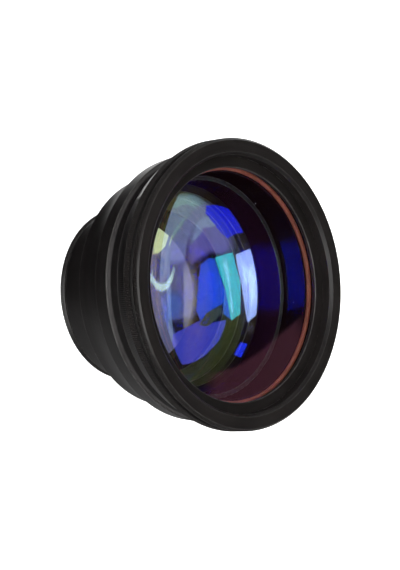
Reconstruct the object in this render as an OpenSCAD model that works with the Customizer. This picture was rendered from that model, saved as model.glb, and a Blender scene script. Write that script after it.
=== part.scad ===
// F-theta scan lens: a stack of coated elements in a black anodised barrel,
// closed at the front by a sealed protective window.
// Stands on its rear end, optical axis along +Z, window up.
// Millimetres. Z = 0 is the plane of the rear end.

/* [Front ring and window] */
// Overall length along the optical axis, rear end to front face
overall_len = 83.5; // [83:0.1:85]
// Outside radius of the front ring and of the knurled bands
front_r = 69; // [68.5:0.1:70]
// Radius of the mouth of the recess, at the front face
mouth_r = 62.4; // [62.2:0.1:63]
// Bevel at the mouth of the recess
mouth_bevel = 1.3; // [0.8:0.1:1.4]
// Depth of the window's retaining ring below the front face
ring_depth = 5.5; // [5:0.1:6]
// Inside radius of the window's retaining ring
ring_in_r = 55.5; // [55:0.1:57]
// Thickness of the window's retaining ring
ring_t = 2; // [1.6:0.1:2.2]
// Thickness of the protective window
window_t = 3; // [2.5:0.1:3.2]
// Chamfer round the front face
face_chamfer = 1; // [0.6:0.1:1.4]

/* [Index ring] */
// Height of the rear knurled band
knurl_h = 3.8; // [3:0.1:4.2]
// Radius of the index ring at its rear edge
index_rear_r = 64.6; // [64.2:0.1:65]
// Width of the index notch
notch_w = 0.8; // [0.6:0.1:1.2]
// Angle of the index notch round the axis, in degrees
notch_angle = -127.5; // [-180:0.5:180]

/* [Barrels] */
// Radius of the front barrel at its widest
drum_r = 64.5; // [64.1:0.1:65]
// Radius of the front barrel at its rear edge
drum_rear_r = 63.4; // [63:0.1:64]
// Radius of the rear barrel where it meets the front barrel
cone_front_r = 60.3; // [59.5:0.1:61]
// Radius of the rear barrel above its shoulder
cone_rear_r = 55.9; // [55.7:0.1:56.5]
// Height of the mounting shoulder above the rear end
shoulder_z = 28; // [27.8:0.1:28.4]

/* [Rear thread] */
// Nominal diameter of the mounting thread, modelled plain
thread_d = 85; // [84.8:0.1:85.2]
// Length of the thread
thread_len = 3; // [2.6:0.1:3.4]
// Width of the relief groove in front of the thread
relief_w = 1.2; // [0.8:0.1:1.6]

/* [Lenses] */
// Radius of curvature of the rear face of the front lens
front_lens_R = 230; // [225:5:300]
// Radius of curvature of the rear face of the second lens
second_lens_R = 480; // [460:10:520]
// Radius of curvature of the front face of the third lens
third_lens_R = 75; // [74:0.5:78]
// Radius of curvature of the hollow rear face of the third lens
third_hollow_R = 62; // [60:1:66]
// Radius of curvature of the hollow front face of the rear lens
rear_hollow_R = 260; // [240:5:320]

/* [Hidden] */
$fn = 180;
e = 0.01;

// heights, from the rear end
front_z = overall_len;
cell_step_z = front_z - 3.1;          // underside of the front knurled band
index_top_z = front_z - 4.3;          // top face of the index ring
ring_top_z = front_z - ring_depth;    // top of the window's retaining ring
window_top_z = ring_top_z - ring_t;
window_z = window_top_z - window_t;   // underside of the window
groove_z = window_z - 2.2;            // floor of the orange seal's groove
cell_z = groove_z - 1.8;              // underside of the window cell
index_z = 64.5;                       // rear face of the index ring
drum_top_z = 58.2;                    // front edge of the drum
joint_z = 49.1;                       // joint of the two barrels
spigot_z = 55;                        // top of the rear barrel's spigot
retainer_z = 57.2;                    // top of the front lens's retainer
lens1_z = 42.2;                       // flat front face of the front lens
lens1_rim = 2;                        // its rim thickness
lens2_top_z = 33.4;                   // flat front face of the second lens
lens2_z = 28.8;                       // its rear crown
lens3_z = 28.6;                       // crown of the third lens
lens3_rim_z = 14.7;                   // its flat rear rim
lens4_top_z = 10.2;                   // front rim of the rear lens
lens4_z = 5;                          // rear face of the rear lens
rear_ring_z = 1.5;                    // rear face of the rear retaining ring

// radii
cell_bore_r = 61.1;                   // bore round the window's retaining ring
window_bore_r = 60.2;                 // bore round the window
window_r = 60;
seal_in_r = 54.15;                    // inner lip of the seal's seat, and main bore
seal_out_r = 57.1;                    // outer wall of the seal's groove
cell_thread_r = 64;                   // thread of the window cell
nose_r = 61.8;                        // nose of the front barrel
spigot_r = 57.5;                      // thread of the barrel joint
lens_bore_r = 53.7;                   // bore round the two front lenses
lens_r = 53.5;
retainer_in_r = 51.3;
spacer_in_r = 47.5;
seat_in_r = 44;
neck_r = thread_d / 2;
neck_bore_r = 39.2;
neck_lens_r = 39;
lip_in_r = 36.5;
rear_clear_r = 33;

// sphere centres, on the axis
function sag(R, r) = R - sqrt(R * R - r * r);
lens1_c = lens1_z - lens1_rim - sag(front_lens_R, lens_r) + front_lens_R;
lens2_c = lens2_z + second_lens_R;
seat_z = lens2_z + sag(second_lens_R, seat_in_r);        // inner lip of its seat
lens3_c = lens3_z - third_lens_R;
lens3_hollow_c = lens3_rim_z + sag(third_hollow_R, 31) - third_hollow_R;
lens4_c = lens4_top_z - sag(rear_hollow_R, 33.5) + rear_hollow_R;

// ---- shared shapes ----

// solid of revolution from a half section of [radius, height] points
module turned(points) { rotate_extrude() polygon(points); }

// plain tube between two heights
module tube(r_out, r_in, z0, z1) {
    difference() {
        translate([0, 0, z0]) cylinder(r = r_out, h = z1 - z0);
        translate([0, 0, z0 - 1]) cylinder(r = r_in, h = z1 - z0 + 2);
    }
}

// round section seal lying flat
module seal(r_mid, r_section, z) {
    translate([0, 0, z]) rotate_extrude() translate([r_mid, 0]) circle(r = r_section, $fn = 48);
}

// ball on the axis, for lens faces and the seats that follow them
module ball(R, z) { translate([0, 0, z]) sphere(r = R, $fn = R > 400 ? 900 : R > 200 ? 720 : 360); }

// ---- barrels ----

// rear barrel: thread, neck, shoulder, flared body and the spigot of the joint
module rear_barrel() color([0.06, 0.06, 0.065]) difference() {
    turned([
        [30, 0], [neck_r - 0.5, 0], [neck_r, 0.5], [neck_r, thread_len - 0.4], [neck_r - 0.4, thread_len],
        [neck_r - 1.5, thread_len], [neck_r - 1.5, thread_len + relief_w],
        [neck_r, thread_len + relief_w], [neck_r, shoulder_z],
        [cone_rear_r - 1.5, shoulder_z], [cone_rear_r, shoulder_z + 1.5],
        [cone_rear_r + 0.2, 33.5], [cone_rear_r + 1.2, 38.5], [cone_front_r - 1.2, 44.5],
        [cone_front_r, joint_z], [spigot_r, joint_z], [spigot_r, spigot_z - 0.4],
        [spigot_r - 0.4, spigot_z], [30, spigot_z]
    ]);
    // bore of the two front lenses and their retainer, ending in a seat that follows the second lens
    intersection() {
        translate([0, 0, seat_z - 3]) cylinder(r = lens_bore_r, h = 60);
        union() {
            ball(second_lens_R, lens2_c);
            translate([0, 0, lens2_z + 4]) cylinder(r = lens_bore_r + 1, h = 60);
        }
    }
    // flare from the seat down to the neck
    translate([0, 0, 24]) cylinder(r1 = lip_in_r, r2 = seat_in_r, h = seat_z - 24 + 2 * e);
    translate([0, 0, -1]) cylinder(r = lip_in_r, h = 26);
    // bore of the two rear lenses, ending in a seat that follows the third lens
    intersection() {
        translate([0, 0, -1]) cylinder(r = neck_bore_r, h = 30);
        union() {
            ball(third_lens_R, lens3_c);
            translate([0, 0, -1]) cylinder(r = neck_bore_r + 1, h = lens3_rim_z + 2);
        }
    }
    // lead-in at the rear end
    translate([0, 0, -e]) cylinder(r1 = neck_bore_r + 0.6, r2 = neck_bore_r, h = 0.6);
}

// front barrel: drum, tapered groove wall and the nose for the index ring
module front_barrel() color([0.06, 0.06, 0.065]) difference() {
    turned([
        [50, joint_z], [drum_rear_r - 0.3, joint_z], [drum_rear_r, joint_z + 0.3],
        [drum_r, drum_top_z - 0.5], [drum_r - 0.5, drum_top_z],
        [nose_r + 0.2, 63.2], [nose_r, 63.2], [nose_r, cell_z], [50, cell_z]
    ]);
    // main bore
    translate([0, 0, joint_z - 1]) cylinder(r = seal_in_r, h = 40);
    // socket of the barrel joint
    translate([0, 0, joint_z - 1]) cylinder(r = spigot_r, h = spigot_z - joint_z + 1);
    // chamfer for the joint's seal
    translate([0, 0, joint_z - e]) cylinder(r = spigot_r + 1.6, h = 1.6 + e);
    // groove of the cell's seal, in the top of the nose
    tube(59.1, 57.3, cell_z - 1.8, cell_z + 1);
}

// index ring: knurled band, conical scale band, thread for the window cell
module index_ring() color([0.05, 0.05, 0.055]) difference() {
    turned([
        [nose_r, index_z], [index_rear_r - 0.8, index_z], [index_rear_r, index_z + 0.8],
        [front_r - 0.15, index_top_z - 1 - knurl_h - 0.3], [front_r, index_top_z - 1 - knurl_h],
        [front_r, index_top_z - 1], [front_r - 1, index_top_z],
        [cell_thread_r, index_top_z], [cell_thread_r, cell_z - 0.1], [nose_r, cell_z - 0.1]
    ]);
    // index notch, cut along the axis
    rotate([0, 0, notch_angle])
        translate([front_r - 1, -notch_w / 2, index_top_z - 1 - knurl_h - 2.4]) cube([3, notch_w, 3.4]);
    // threaded hole of the lock screw
    rotate([0, 0, notch_angle + 180]) translate([60, 0, 67]) rotate([0, 90, 0]) cylinder(r = 1.5, h = 8, $fn = 48);
}

// lock screw: socket set screw that fixes the index ring to the nose
module lock_screw() color([0.12, 0.12, 0.13])
    rotate([0, 0, notch_angle + 180]) translate([nose_r, 0, 67]) rotate([0, 90, 0]) difference() {
        cylinder(r = 1.5, h = 3, $fn = 48);
        translate([0, 0, 1.4]) cylinder(r = 0.87, h = 3, $fn = 6);
    }

// ---- window cell ----

// window cell: front ring with the recess, window seat and groove of the seal
module window_cell() color([0.06, 0.06, 0.065]) difference() {
    turned([
        [seal_in_r, cell_z], [cell_thread_r, cell_z], [cell_thread_r, index_top_z],
        [front_r - 2, index_top_z], [front_r - 2, cell_step_z], [front_r, cell_step_z],
        [front_r, front_z - face_chamfer], [front_r - face_chamfer, front_z],
        [mouth_r, front_z], [mouth_r - mouth_bevel, front_z - mouth_bevel],
        [cell_bore_r, front_z - mouth_bevel], [cell_bore_r, window_top_z],
        [window_bore_r, window_top_z], [window_bore_r, window_z],
        [seal_out_r, window_z], [seal_out_r, groove_z], [seal_in_r, groove_z]
    ]);
}

// ring that screws down on the window
module window_retaining_ring() color([0.05, 0.05, 0.055]) turned([
    [ring_in_r, window_top_z], [cell_bore_r, window_top_z], [cell_bore_r, ring_top_z - 0.3],
    [cell_bore_r - 0.3, ring_top_z], [ring_in_r + 0.3, ring_top_z], [ring_in_r, ring_top_z - 0.3]
]);

// flat coated window
module protective_window() color([0.55, 0.5, 0.75, 0.35]) turned([
    [0, window_z], [window_r - 0.3, window_z], [window_r, window_z + 0.3],
    [window_r, window_top_z - 0.3], [window_r - 0.3, window_top_z], [0, window_top_z]
]);

// orange silicone ring under the window
module window_seal() color([0.75, 0.33, 0.22]) seal(55.7, 1.1, window_z - 1.1);

// black ring between the window cell and the nose
module cell_seal() color([0.04, 0.04, 0.04]) seal(58.2, 0.9, cell_z - 0.9);

// black ring in the corner of the barrel joint
module barrel_seal() color([0.04, 0.04, 0.04]) seal(spigot_r + 0.8, 0.8, joint_z + 0.8);

// ---- lens stack, front group ----

// deep threaded ring that holds the front lens
module front_lens_retainer() color([0.05, 0.05, 0.055]) turned([
    [retainer_in_r, lens1_z], [lens_bore_r - 1.8, lens1_z], [lens_bore_r - 1.8, lens1_z + 1.8],
    [lens_bore_r, lens1_z + 1.8], [lens_bore_r, retainer_z - 0.3], [lens_bore_r - 0.3, retainer_z],
    [retainer_in_r + 0.3, retainer_z], [retainer_in_r, retainer_z - 0.3]
]);

// soft ring that cushions the front lens
module front_lens_cushion() color([0.04, 0.04, 0.04]) seal(lens_bore_r - 0.9, 0.9, lens1_z + 0.9);

// front lens: flat in front, bulging behind
module front_lens() color([0.35, 0.45, 0.9, 0.35]) intersection() {
    translate([0, 0, lens1_z - 20]) cylinder(r = lens_r, h = 20);
    ball(front_lens_R, lens1_c);
}

// spacer between the first two lenses, its front end follows the bulge of the front lens
module front_spacer() color([0.05, 0.05, 0.055]) difference() {
    tube(lens_r, spacer_in_r, lens2_top_z, lens1_z);
    ball(front_lens_R, lens1_c);
}

// second lens: flat in front, weakly bulging behind
module second_lens() color([0.4, 0.75, 0.8, 0.35]) intersection() {
    translate([0, 0, lens2_z - 1]) cylinder(r = lens_r, h = lens2_top_z - lens2_z + 1);
    ball(second_lens_R, lens2_c);
}

// ---- lens stack, rear group ----

// third lens: deep meniscus in the neck
module third_lens() color([0.6, 0.5, 0.9, 0.35]) difference() {
    intersection() {
        translate([0, 0, lens3_rim_z]) cylinder(r = neck_lens_r, h = 20);
        ball(third_lens_R, lens3_c);
    }
    ball(third_hollow_R, lens3_hollow_c);
}

// spacer between the two rear lenses
module rear_spacer() color([0.05, 0.05, 0.055]) tube(neck_bore_r - 0.1, 33.5, lens4_top_z, lens3_rim_z);

// rear lens: hollow in front, flat behind
module rear_lens() color([0.5, 0.6, 0.8, 0.35]) difference() {
    translate([0, 0, lens4_z]) cylinder(r = neck_lens_r, h = lens4_top_z - lens4_z);
    ball(rear_hollow_R, lens4_c);
}

// threaded ring that holds the rear lens
module rear_retaining_ring() color([0.05, 0.05, 0.055]) difference() {
    turned([
        [rear_clear_r, lens4_z], [neck_bore_r, lens4_z], [neck_bore_r, rear_ring_z],
        [rear_clear_r + 0.6, rear_ring_z], [rear_clear_r, rear_ring_z + 0.6]
    ]);
    // two slots for a spanner
    for (a = [0, 180]) rotate([0, 0, a])
        translate([rear_clear_r - 1, -1, rear_ring_z - 1]) cube([9, 2, 2.2]);
}

rear_barrel();
front_barrel();
index_ring();
lock_screw();
window_cell();
window_retaining_ring();
protective_window();
window_seal();
cell_seal();
barrel_seal();
front_lens_retainer();
front_lens_cushion();
front_lens();
front_spacer();
second_lens();
third_lens();
rear_spacer();
rear_lens();
rear_retaining_ring();
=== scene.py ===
import math
import random

import bpy
import numpy as np
from mathutils import Matrix, Vector


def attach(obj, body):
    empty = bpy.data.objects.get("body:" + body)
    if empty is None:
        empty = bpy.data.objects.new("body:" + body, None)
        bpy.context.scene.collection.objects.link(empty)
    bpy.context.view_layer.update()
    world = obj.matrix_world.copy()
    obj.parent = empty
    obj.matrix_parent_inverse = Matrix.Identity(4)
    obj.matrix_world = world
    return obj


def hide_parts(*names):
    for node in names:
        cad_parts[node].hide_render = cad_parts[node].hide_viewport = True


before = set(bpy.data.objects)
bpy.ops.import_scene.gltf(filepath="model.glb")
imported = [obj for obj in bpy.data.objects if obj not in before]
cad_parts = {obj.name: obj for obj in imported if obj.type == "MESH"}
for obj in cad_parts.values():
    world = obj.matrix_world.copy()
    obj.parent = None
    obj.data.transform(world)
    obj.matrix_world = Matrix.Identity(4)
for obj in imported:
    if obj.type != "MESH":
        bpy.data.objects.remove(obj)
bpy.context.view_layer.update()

MM = 0.001
scene = bpy.context.scene
random.seed(7)

# ---------------------------------------------------------------- camera
cam_data = bpy.data.cameras.new("camera")
cam_data.lens = 126.316
cam_data.sensor_width = 36.0
cam_data.sensor_fit = "AUTO"
cam_data.clip_start = 0.05
cam_data.clip_end = 60.0
cam_data.shift_x = -0.0009
cam_data.shift_y = 0.0009
camera = bpy.data.objects.new("camera", cam_data)
right = Vector((0.081992, 0.705648, 0.70380))
up = Vector((-0.996631, 0.057286, 0.05867))
back = Vector((0.001082, -0.706242, 0.70797))
rot = Matrix((right, up, back)).transposed().to_4x4()
camera.matrix_world = Matrix.Translation((0.0, -0.677113, 0.732757)) @ rot
scene.collection.objects.link(camera)
scene.camera = camera

scene.view_settings.view_transform = "Standard"
scene.view_settings.look = "None"


# ---------------------------------------------------------------- node helpers
class Nodes:
    """Short hand for building a node tree."""

    def __init__(self, tree):
        self.t = tree
        tree.nodes.clear()
        self.x = 0

    def new(self, kind, ins=None, **props):
        n = self.t.nodes.new(kind)
        self.x += 40
        n.location = (self.x, 0)
        for k, v in props.items():
            setattr(n, k, v)
        for k, v in (ins or {}).items():
            self.put(n, k, v)
        return n

    def put(self, n, key, v):
        s = n.inputs[key]
        if hasattr(v, "is_output"):
            self.t.links.new(v, s)
        elif hasattr(v, "outputs"):
            self.t.links.new(v.outputs[0], s)
        else:
            s.default_value = v

    def math(self, op, a, b=None, c=None, clamp=False):
        n = self.new("ShaderNodeMath", operation=op, use_clamp=clamp)
        for i, v in enumerate((a, b, c)):
            if v is not None:
                self.put(n, i, v)
        return n.outputs[0]

    def ramp(self, fac, lo, hi, a=0.0, b=1.0, smooth=True):
        n = self.new("ShaderNodeMapRange", interpolation_type="SMOOTHSTEP" if smooth else "LINEAR", clamp=True)
        self.put(n, "Value", fac)
        self.put(n, "From Min", lo)
        self.put(n, "From Max", hi)
        self.put(n, "To Min", a)
        self.put(n, "To Max", b)
        return n.outputs["Result"]

    def mix(self, fac, a, b):
        n = self.new("ShaderNodeMix", data_type="RGBA")
        self.put(n, 0, fac)
        self.put(n, 6, a)
        self.put(n, 7, b)
        return n.outputs[2]

    def noise(self, vec, scale, detail=2.0, rough=0.5, dims="3D"):
        n = self.new("ShaderNodeTexNoise", {"Scale": scale, "Detail": detail, "Roughness": rough}, noise_dimensions=dims)
        self.put(n, "Vector", vec)
        return n.outputs["Fac"]

    def combine(self, x, y, z):
        n = self.new("ShaderNodeCombineXYZ")
        for i, v in enumerate((x, y, z)):
            self.put(n, i, v)
        return n.outputs[0]

    def shader_mix(self, fac, a, b):
        n = self.new("ShaderNodeMixShader")
        self.put(n, 0, fac)
        self.put(n, 1, a)
        self.put(n, 2, b)
        return n.outputs[0]


def material(name):
    m = bpy.data.materials.new(name)
    m.use_nodes = True
    return m, Nodes(m.node_tree)


def polar(n):
    """object place as (vector, x, y, z, radius, angle)"""
    co = n.new("ShaderNodeTexCoord").outputs["Object"]
    sep = n.new("ShaderNodeSeparateXYZ", {0: co})
    x, y, z = sep.outputs
    r = n.math("SQRT", n.math("ADD", n.math("MULTIPLY", x, x), n.math("MULTIPLY", y, y)))
    a = n.math("ARCTAN2", y, x)
    return co, x, y, z, r, a


def rgb(*c):
    return (*c, 1.0)


# ---------------------------------------------------------------- materials
def anodised(name, base, rough, level=0.35, groove=0.25, wear_and_highlight=(0.06, 0.057, 0.055), streak=1.0, metal=0.0, rim=1.0):
    """Turned and anodised aluminium: fine lathe lines, a soft grain, and outside edges lighter, partly rubbed wear and
    partly a painted highlight line.
    """
    m, n = material(name)
    co, x, y, z, r, a = polar(n)
    lines = n.noise(n.combine(n.math("MULTIPLY", r, 1.0), n.math("MULTIPLY", z, 1.0), n.math("MULTIPLY", a, 0.00035)), 5200.0, 2.0, 0.6)
    broad = n.noise(n.combine(n.math("MULTIPLY", r, 1.0), n.math("MULTIPLY", z, 1.0), n.math("MULTIPLY", a, 0.002)), 700.0, 3.0, 0.55)
    grain = n.noise(co, 9000.0, 2.0, 0.6)
    cloud = n.noise(co, 60.0, 3.0, 0.55)
    edge = n.new("ShaderNodeAttribute", attribute_name="edge").outputs["Fac"]
    # outside edges lighter: rubbed wear plus a painted highlight line along each corner
    wear_and_highlight_mask = n.math("MULTIPLY", edge, n.ramp(n.noise(co, 420.0, 3.0, 0.6), 0.38, 0.68, 0.35, 1.0))
    dark = tuple(c * 0.72 for c in base)
    light = tuple(min(1.0, c * 1.35) for c in base)
    tone = n.math("ADD", n.math("MULTIPLY", broad, 0.55), n.math("MULTIPLY", cloud, 0.45))
    colour = n.mix(n.ramp(tone, 0.3, 0.7), rgb(*dark), rgb(*light))
    colour = n.mix(wear_and_highlight_mask, colour, rgb(*wear_and_highlight))
    ro = n.math("ADD", n.math("MULTIPLY", n.math("SUBTRACT", lines, 0.5), 0.16 * streak), rough)
    ro = n.math("ADD", ro, n.math("MULTIPLY", n.math("SUBTRACT", cloud, 0.5), 0.10))
    ro = n.math("SUBTRACT", ro, n.math("MULTIPLY", wear_and_highlight_mask, 0.08), clamp=True)
    b1 = n.new("ShaderNodeBump", {"Strength": groove, "Distance": 0.00002, "Height": lines})
    b2 = n.new("ShaderNodeBump", {"Strength": 0.12, "Distance": 0.00001, "Height": grain, "Normal": b1})
    p = n.new("ShaderNodeBsdfPrincipled", {"Base Color": colour, "Roughness": ro, "Normal": b2})
    p.inputs["Specular IOR Level"].default_value = level
    p.inputs["Metallic"].default_value = metal
    p.inputs["Specular Tint"].default_value = rgb(rim, rim, rim)
    n.new("ShaderNodeOutputMaterial", {"Surface": p})
    return m


def rubber(name, base, rough=0.6, level=0.3, sss=0.0):
    m, n = material(name)
    co, x, y, z, r, a = polar(n)
    grain = n.noise(co, 2600.0, 3.0, 0.6)
    cloud = n.noise(co, 140.0, 3.0, 0.55)
    speck = n.ramp(n.noise(co, 1500.0, 1.0, 0.5), 0.70, 0.78)
    colour = n.mix(n.ramp(cloud, 0.35, 0.65), rgb(*(c * 0.85 for c in base)), rgb(*(min(1, c * 1.12) for c in base)))
    colour = n.mix(n.math("MULTIPLY", speck, 0.5), colour, rgb(*(min(1, c * 1.7 + 0.02) for c in base)))
    b = n.new("ShaderNodeBump", {"Strength": 0.3, "Distance": 0.00004, "Height": grain})
    ro = n.math("ADD", n.math("MULTIPLY", grain, 0.2), rough - 0.1)
    p = n.new("ShaderNodeBsdfPrincipled", {"Base Color": colour, "Roughness": ro, "Normal": b})
    p.inputs["Specular IOR Level"].default_value = level
    if sss:
        p.inputs["Subsurface Weight"].default_value = sss
        p.inputs["Subsurface Radius"].default_value = (1.0, 0.35, 0.2)
        p.inputs["Subsurface Scale"].default_value = 0.0006
    n.new("ShaderNodeOutputMaterial", {"Surface": p})
    return m


def steel(name):
    m, n = material(name)
    co, x, y, z, r, a = polar(n)
    grain = n.noise(co, 4200.0, 3.0, 0.6)
    colour = n.mix(grain, rgb(0.06, 0.058, 0.062), rgb(0.13, 0.125, 0.13))
    b = n.new("ShaderNodeBump", {"Strength": 0.25, "Distance": 0.00003, "Height": grain})
    p = n.new("ShaderNodeBsdfPrincipled", {"Base Color": colour, "Roughness": n.ramp(grain, 0.2, 0.8, 0.26, 0.46), "Normal": b})
    p.inputs["Metallic"].default_value = 0.85
    n.new("ShaderNodeOutputMaterial", {"Surface": p})
    return m


def coated_glass(name, centre, edge, ior=1.5, haze=0.0, dust=0.0, tint=(1.0, 1.0, 1.0), coat_noise=0.12,
                 film_colour=(0.75, 0.75, 0.78)):
    """Polished glass with an interference coating: weak tinted mirror over clear refraction.
    centre is the mirror's colour seen square on, edge at a slant."""
    m, n = material(name)
    co, x, y, z, r, a = polar(n)
    slant = n.new("ShaderNodeLayerWeight", {"Blend": 0.5}).outputs["Facing"]
    cloud = n.noise(co, 28.0, 2.0, 0.5)
    t = n.math("ADD", slant, n.math("MULTIPLY", n.math("SUBTRACT", cloud, 0.5), coat_noise), clamp=True)
    turn = n.ramp(t, 0.05, 0.55)
    mirror = n.new("ShaderNodeBsdfGlossy", {"Color": n.mix(turn, rgb(*centre), rgb(*edge)), "Roughness": 0.0})
    left0 = tuple((1.0 - c) * k for c, k in zip(centre, tint))
    left1 = tuple((1.0 - c) * k for c, k in zip(edge, tint))
    clear = n.new("ShaderNodeBsdfRefraction", {"Color": n.mix(turn, rgb(*left0), rgb(*left1)), "Roughness": 0.0, "IOR": ior})
    body = n.new("ShaderNodeAddShader", {0: clear, 1: mirror}).outputs[0]
    if haze or dust:
        fine = n.noise(co, 900.0, 3.0, 0.6)
        film = n.math("MULTIPLY", n.ramp(fine, 0.35, 0.75, 0.4, 1.0), haze)
        if dust:
            cells = n.new("ShaderNodeTexVoronoi", {"Vector": co, "Scale": 95.0, "Randomness": 1.0}, feature="F1")
            pick = n.new("ShaderNodeTexWhiteNoise", {"Vector": cells.outputs["Position"]}, noise_dimensions="3D").outputs["Value"]
            size = n.math("MULTIPLY", n.ramp(pick, 0.80, 1.0, 0.0, 1.0, False), 0.040)
            near = n.math("LESS_THAN", cells.outputs["Distance"], size)
            film = n.math("MAXIMUM", film, n.math("MULTIPLY", near, dust))
        dull = n.new("ShaderNodeBsdfDiffuse", {"Color": rgb(*film_colour)})
        body = n.shader_mix(film, body, dull)
    shadow = n.new("ShaderNodeLightPath").outputs["Is Shadow Ray"]
    through = n.new("ShaderNodeBsdfTransparent", {"Color": rgb(*(c * 0.9 for c in tint))})
    n.new("ShaderNodeOutputMaterial", {"Surface": n.shader_mix(shadow, body, through)})
    return m


def plain_paint(name, base, rough=0.6):
    m, n = material(name)
    co, x, y, z, r, a = polar(n)
    grain = n.noise(co, 3000.0, 3.0, 0.6)
    colour = n.mix(grain, rgb(*(c * 0.8 for c in base)), rgb(*base))
    b = n.new("ShaderNodeBump", {"Strength": 0.3, "Distance": 0.00003, "Height": grain})
    p = n.new("ShaderNodeBsdfPrincipled", {"Base Color": colour, "Roughness": n.ramp(grain, 0.2, 0.8, rough - 0.1, rough + 0.1), "Normal": b})
    n.new("ShaderNodeOutputMaterial", {"Surface": p})
    return m


BARREL = anodised("black_anodised_barrel", (0.0040, 0.0032, 0.0033), 0.37, 0.30)
RING = anodised("black_anodised_ring", (0.0100, 0.0084, 0.0081), 0.42, 0.31, 0.3)
# lighter than the barrel's anodise: partly a painted highlight on the chamfers
CHAMFER = anodised("black_anodised_chamfer", (0.0115, 0.0103, 0.0101), 0.32, 0.40, 0.2)
INNER = anodised("black_anodised_inside", (0.072, 0.070, 0.084), 0.20, 0.5, 0.08, metal=1.0, rim=0.12)
# the magenta tint is a painted reflection of the coatings' violet light; the lighter edges are partly wear, partly
# painted highlight
INNER_DEEP = anodised("black_anodised_retainer_painted_violet_sheen", (0.095, 0.022, 0.070), 0.20, 0.5, 0.10, (0.30, 0.29, 0.33), metal=0.90, rim=0.12)
# the seat's near-white bluish edge colour is a painted highlight line
SEAT = anodised("grey_anodised_seat", (0.18, 0.21, 0.19), 0.50, 0.30, 0.2, (0.80, 0.82, 1.0))
# the spacer's near-white bluish edge colour is a painted highlight line
SPACER = anodised("black_anodised_spacer", (0.0040, 0.0036, 0.0060), 0.30, 0.60, 0.1, (0.70, 0.72, 1.0))
CHAMFER_DIM = anodised("black_anodised_dim_chamfer", (0.0040, 0.0034, 0.0034), 0.48, 0.18, 0.2)
# a much lighter copy of the black anodise on the chamfers: painted highlight
CHAMFER_PAINTED_HIGHLIGHT = anodised("bright_chamfer_painted_highlight", (0.025, 0.0228, 0.0228), 0.46, 0.28, 0.2)
DULL = anodised("black_dull_inside", (0.0060, 0.0055, 0.0058), 0.55, 0.25, 0.2)
SEAL = rubber("orange_silicone", (0.41, 0.108, 0.068), 0.55, 0.30, 0.25)
BLACK_RUBBER = rubber("black_rubber", (0.012, 0.012, 0.012), 0.6, 0.3)
STEEL = steel("blackened_steel")
EDGE_BLACK = plain_paint("ground_edge_black", (0.018, 0.017, 0.019), 0.5)
MARK = plain_paint("scale_mark_white", (0.55, 0.55, 0.54), 0.5)

WINDOW = coated_glass("window_coating", (0.100, 0.035, 0.055), (0.160, 0.055, 0.085), 1.5, haze=0.0, dust=0.35)
FRONT1 = coated_glass("front_lens_front_coating", (0.004, 0.008, 0.30), (0.004, 0.014, 0.55), 1.76)
FRONT2 = coated_glass("front_lens_rear_coating", (0.12, 0.17, 0.60), (0.12, 0.17, 0.60), 1.76)
SECOND1 = coated_glass("second_lens_front_coating", (0.030, 0.030, 0.060), (0.030, 0.030, 0.060), 1.76, haze=0.06, film_colour=(0.22, 0.26, 0.98))
SECOND2 = coated_glass("second_lens_rear_coating", (0.002, 0.008, 0.007), (0.002, 0.008, 0.007), 1.76)
THIRD1 = coated_glass("third_lens_front_coating", (0.050, 0.055, 0.060), (0.060, 0.065, 0.070), 1.6)
THIRD2 = coated_glass("third_lens_rear_coating", (0.040, 0.035, 0.060), (0.040, 0.035, 0.060), 1.6)
REAR1 = coated_glass("rear_lens_front_coating", (0.040, 0.050, 0.090), (0.040, 0.050, 0.090), 1.6)
REAR2 = coated_glass("rear_lens_rear_coating", (0.050, 0.090, 0.140), (0.060, 0.100, 0.160), 1.6)


# ---------------------------------------------------------------- mesh helpers
def rounded(points, radius=0.15, steps=3, radii=None):
    """Closed half section with its corners rounded. Gives (points, edge flags)."""
    out, flags = [], []
    k = len(points)
    for i, p in enumerate(points):
        rad = radius if radii is None or i not in radii else radii[i]
        a, b = np.array(points[i - 1], float), np.array(points[(i + 1) % k], float)
        q = np.array(p, float)
        u, v = a - q, b - q
        lu, lv = np.linalg.norm(u), np.linalg.norm(v)
        if rad <= 0 or lu < 1e-6 or lv < 1e-6 or p[0] < 1e-6:
            out.append(tuple(q)), flags.append(0.0)
            continue
        u, v = u / lu, v / lv
        cosang = float(np.clip(u @ v, -1, 1))
        ang = math.acos(cosang)
        if ang > math.radians(172):
            out.append(tuple(q)), flags.append(0.0)
            continue
        cut = min(rad / math.tan(ang / 2), lu * 0.45, lv * 0.45)
        # 1 on an outside corner, whichever way round the section runs
        s0, s1 = q + u * cut, q + v * cut
        for j in range(steps + 1):
            t = j / steps
            w = (1 - t) ** 2 * s0 + 2 * t * (1 - t) * q + t**2 * s1
            out.append(tuple(w)), flags.append(1.0)
    return out, flags


def outside_corner(points, i):
    """True where the section's corner i sticks out (the edge that gets rubbed and carries the painted highlight line).
    """
    k = len(points)
    area = sum(points[j][0] * points[(j + 1) % k][1] - points[(j + 1) % k][0] * points[j][1] for j in range(k))
    a, q, b = points[i - 1], points[i], points[(i + 1) % k]
    cross = (q[0] - a[0]) * (b[1] - q[1]) - (q[1] - a[1]) * (b[0] - q[0])
    return cross * area > 0


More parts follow.
